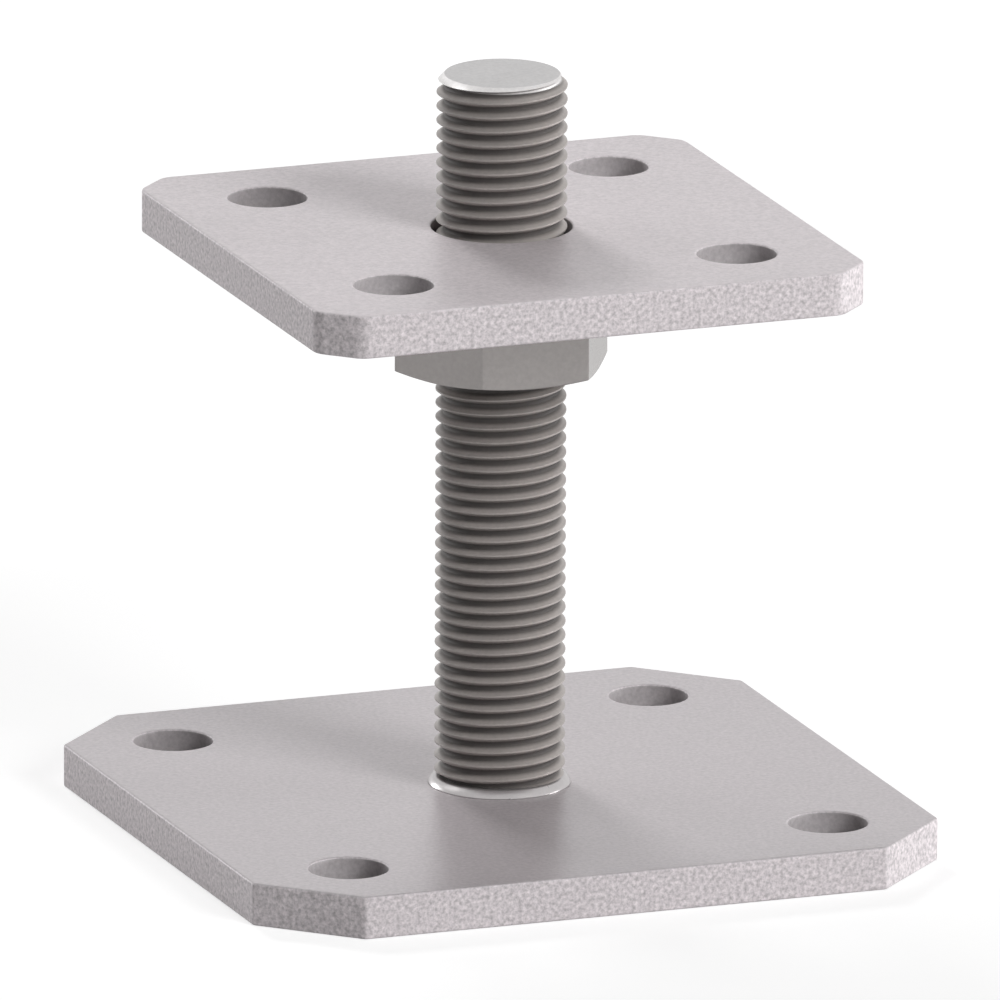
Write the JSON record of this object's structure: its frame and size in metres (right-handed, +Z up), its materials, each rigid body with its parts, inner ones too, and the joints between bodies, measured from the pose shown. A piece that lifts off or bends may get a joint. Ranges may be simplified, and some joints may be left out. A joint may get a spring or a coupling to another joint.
{
  "type": "adjustable post base",
  "caption": "Galvanised steel post foot: a square base plate with a welded threaded rod, and a smaller square head plate carried on a hexagon nut that sets its height.",
  "frame": {"origin": "centre of the underside of the base plate", "axes": "+Z up along the threaded rod; X and Y along the edges of the two square plates"},
  "size_m": [0.1, 0.1, 0.1065],
  "materials": {
    "galvanised_plate": "satin hot-dip zinc, very finely grained",
    "threaded_steel": "zinc-plated rolled thread, darker in its grooves",
    "weld_steel": "bright smooth weld bead",
    "nut_steel": "zinc-plated satin steel"
  },
  "bodies": {
    "base": {"base_plate": "galvanised_plate", "threaded_rod": "threaded_steel", "foot_weld": "weld_steel"},
    "head": {"head_plate": "galvanised_plate"},
    "nut": {"adjusting_nut": "nut_steel"}
  },
  "joints": [
    {"name": "height", "type": "slide", "parent": "base", "child": "head", "axis": [0, 0, 1], "range_m": [-0.0575, 0.0215]},
    {"name": "nut_turn", "type": "hinge", "parent": "head", "child": "nut", "pos_m": [0, 0, 0.072], "axis": [0, 0, 1], "range_deg": [-10350, 3870]}
  ],
  "couplings": [
    {"joint": "nut_turn", "follows": "height", "rad_per_m": 3141.6}
  ]
}
